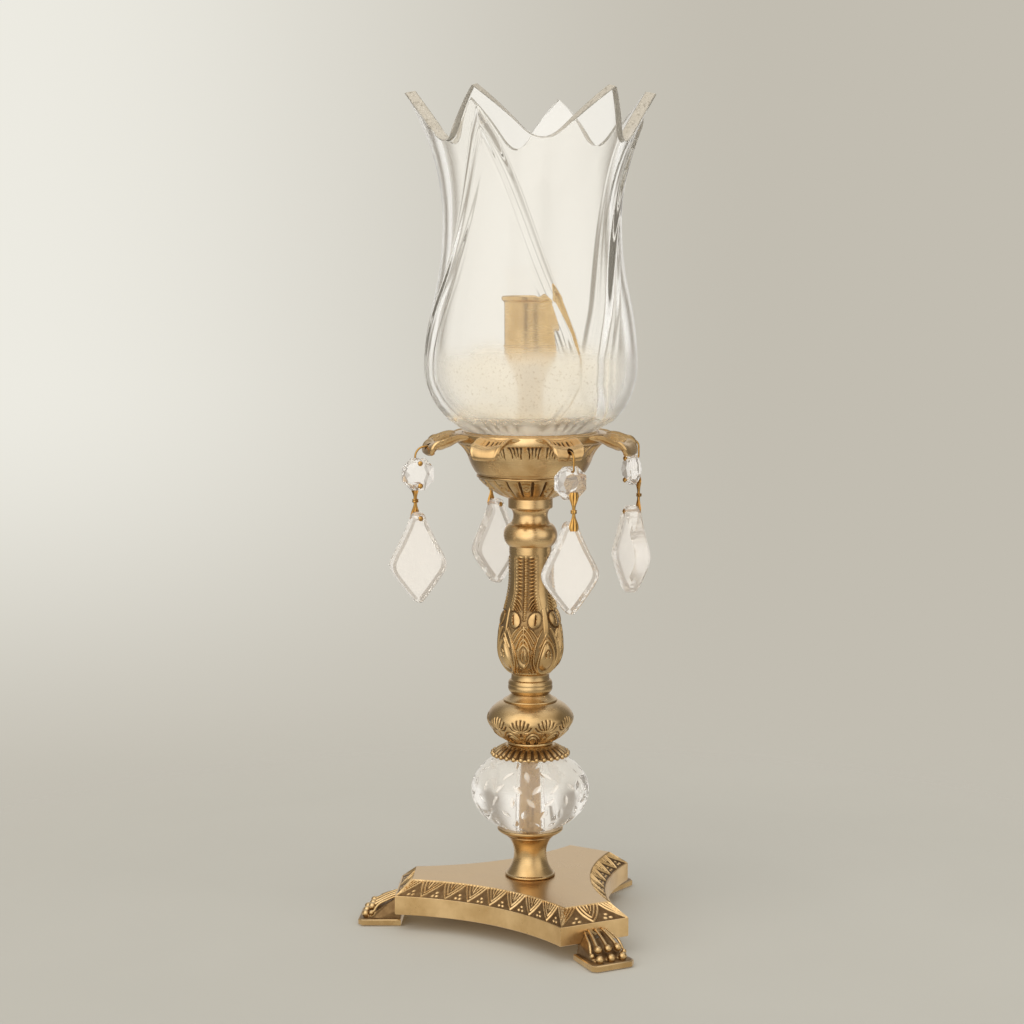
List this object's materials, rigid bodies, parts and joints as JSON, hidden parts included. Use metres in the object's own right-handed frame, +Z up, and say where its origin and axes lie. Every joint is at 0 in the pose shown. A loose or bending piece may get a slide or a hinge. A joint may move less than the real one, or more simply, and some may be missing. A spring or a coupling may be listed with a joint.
{
  "type": "hurricane candle lantern",
  "caption": "Brass candle lantern on a footed plinth, with a cut glass ball in the stem, a bowl of leaf arms hung with crystal drops and a clear petal glass shade that lifts off.",
  "frame": {"origin": "point of the table plane under the stem axis", "axes": "+Z up along the stem, -Y towards the front foot, +X to the right of it"},
  "size_m": [0.1462, 0.1357, 0.3826],
  "materials": {
    "antique_brass": "satin, dark in the recesses",
    "brass_wire": "bright wire",
    "steel_fixings": "plain",
    "clear_glass": "clear, polished",
    "cut_crystal": "clear, cut facets"
  },
  "bodies": {
    "stand": {"base_plate": "antique_brass", "paw_foot_front": "antique_brass", "paw_foot_right": "antique_brass", "paw_foot_left": "antique_brass", "foot_screws": "steel_fixings", "tie_rod": "steel_fixings", "base_washer": "steel_fixings", "base_nut": "steel_fixings", "spool": "antique_brass", "ball_dish": "antique_brass", "crystal_ball": "cut_crystal", "ball_sleeve": "antique_brass", "fluted_collar": "antique_brass", "knop_ring": "antique_brass", "knop": "antique_brass", "stem_ring": "antique_brass", "baluster": "antique_brass", "neck": "antique_brass", "gadroon_cup": "antique_brass", "leaf_bowl": "antique_brass", "seat_plate": "antique_brass", "cup_pedestal": "antique_brass", "candle_cup": "antique_brass"},
    "shade": {"glass_shade": "clear_glass"},
    "hook_1": {"hook_1": "brass_wire"},
    "octagon_1": {"octagon_1": "cut_crystal"},
    "link_1": {"link_1": "brass_wire"},
    "drop_1": {"drop_1": "cut_crystal"},
    "hook_2": {"hook_2": "brass_wire"},
    "octagon_2": {"octagon_2": "cut_crystal"},
    "link_2": {"link_2": "brass_wire"},
    "drop_2": {"drop_2": "cut_crystal"},
    "hook_3": {"hook_3": "brass_wire"},
    "octagon_3": {"octagon_3": "cut_crystal"},
    "link_3": {"link_3": "brass_wire"},
    "drop_3": {"drop_3": "cut_crystal"},
    "hook_4": {"hook_4": "brass_wire"},
    "octagon_4": {"octagon_4": "cut_crystal"},
    "link_4": {"link_4": "brass_wire"},
    "drop_4": {"drop_4": "cut_crystal"}
  },
  "joints": [
    {"name": "shade_lift", "type": "slide", "parent": "stand", "child": "shade", "axis": [0, 0, 1], "range_m": [0, 0.075]},
    {"name": "hook_1_swing", "type": "hinge", "parent": "stand", "child": "hook_1", "pos_m": [-0.0063, -0.0499, 0.2239], "axis": [-0.9921, 0.1253, 0], "range_deg": [-8, 20]},
    {"name": "octagon_1_swing", "type": "hinge", "parent": "hook_1", "child": "octagon_1", "pos_m": [-0.00637, -0.04934, 0.2155], "axis": [0.0906, 0.9959, 0], "range_deg": [-20, 20]},
    {"name": "link_1_swing", "type": "hinge", "parent": "octagon_1", "child": "link_1", "pos_m": [-0.00637, -0.04934, 0.2055], "axis": [0.0906, 0.9959, 0], "range_deg": [-20, 20]},
    {"name": "drop_1_swing", "type": "hinge", "parent": "link_1", "child": "drop_1", "pos_m": [-0.00637, -0.04934, 0.1909], "axis": [0.0906, 0.9959, 0], "range_deg": [-20, 20]},
    {"name": "hook_2_swing", "type": "hinge", "parent": "stand", "child": "hook_2", "pos_m": [0.0499, -0.0063, 0.2239], "axis": [-0.1253, -0.9921, 0], "range_deg": [-8, 20]},
    {"name": "octagon_2_swing", "type": "hinge", "parent": "hook_2", "child": "octagon_2", "pos_m": [0.04933, -0.00656, 0.2155], "axis": [-0.9993, 0.0384, 0], "range_deg": [-20, 20]},
    {"name": "link_2_swing", "type": "hinge", "parent": "octagon_2", "child": "link_2", "pos_m": [0.04933, -0.00656, 0.2055], "axis": [-0.9993, 0.0384, 0], "range_deg": [-20, 20]},
    {"name": "drop_2_swing", "type": "hinge", "parent": "link_2", "child": "drop_2", "pos_m": [0.04933, -0.00656, 0.1909], "axis": [-0.9993, 0.0384, 0], "range_deg": [-20, 20]},
    {"name": "hook_3_swing", "type": "hinge", "parent": "stand", "child": "hook_3", "pos_m": [0.0063, 0.0499, 0.2239], "axis": [0.9921, -0.1253, 0], "range_deg": [-8, 20]},
    {"name": "octagon_3_swing", "type": "hinge", "parent": "hook_3", "child": "octagon_3", "pos_m": [0.00741, 0.04939, 0.2155], "axis": [0.1874, -0.9823, 0], "range_deg": [-20, 20]},
    {"name": "link_3_swing", "type": "hinge", "parent": "octagon_3", "child": "link_3", "pos_m": [0.00741, 0.04939, 0.2055], "axis": [0.1874, -0.9823, 0], "range_deg": [-20, 20]},
    {"name": "drop_3_swing", "type": "hinge", "parent": "link_3", "child": "drop_3", "pos_m": [0.00741, 0.04939, 0.1909], "axis": [0.1874, -0.9823, 0], "range_deg": [-20, 20]},
    {"name": "hook_4_swing", "type": "hinge", "parent": "stand", "child": "hook_4", "pos_m": [-0.0499, 0.0063, 0.2239], "axis": [0.1253, 0.9921, 0], "range_deg": [-8, 20]},
    {"name": "octagon_4_swing", "type": "hinge", "parent": "hook_4", "child": "octagon_4", "pos_m": [-0.05497, 0.00317, 0.2169], "axis": [-0.108, -0.9942, 0], "range_deg": [-20, 20]},
    {"name": "link_4_swing", "type": "hinge", "parent": "octagon_4", "child": "link_4", "pos_m": [-0.05497, 0.00317, 0.2069], "axis": [-0.108, -0.9942, 0], "range_deg": [-20, 20]},
    {"name": "drop_4_swing", "type": "hinge", "parent": "link_4", "child": "drop_4", "pos_m": [-0.05497, 0.00317, 0.1923], "axis": [-0.108, -0.9942, 0], "range_deg": [-20, 20]}
  ]
}
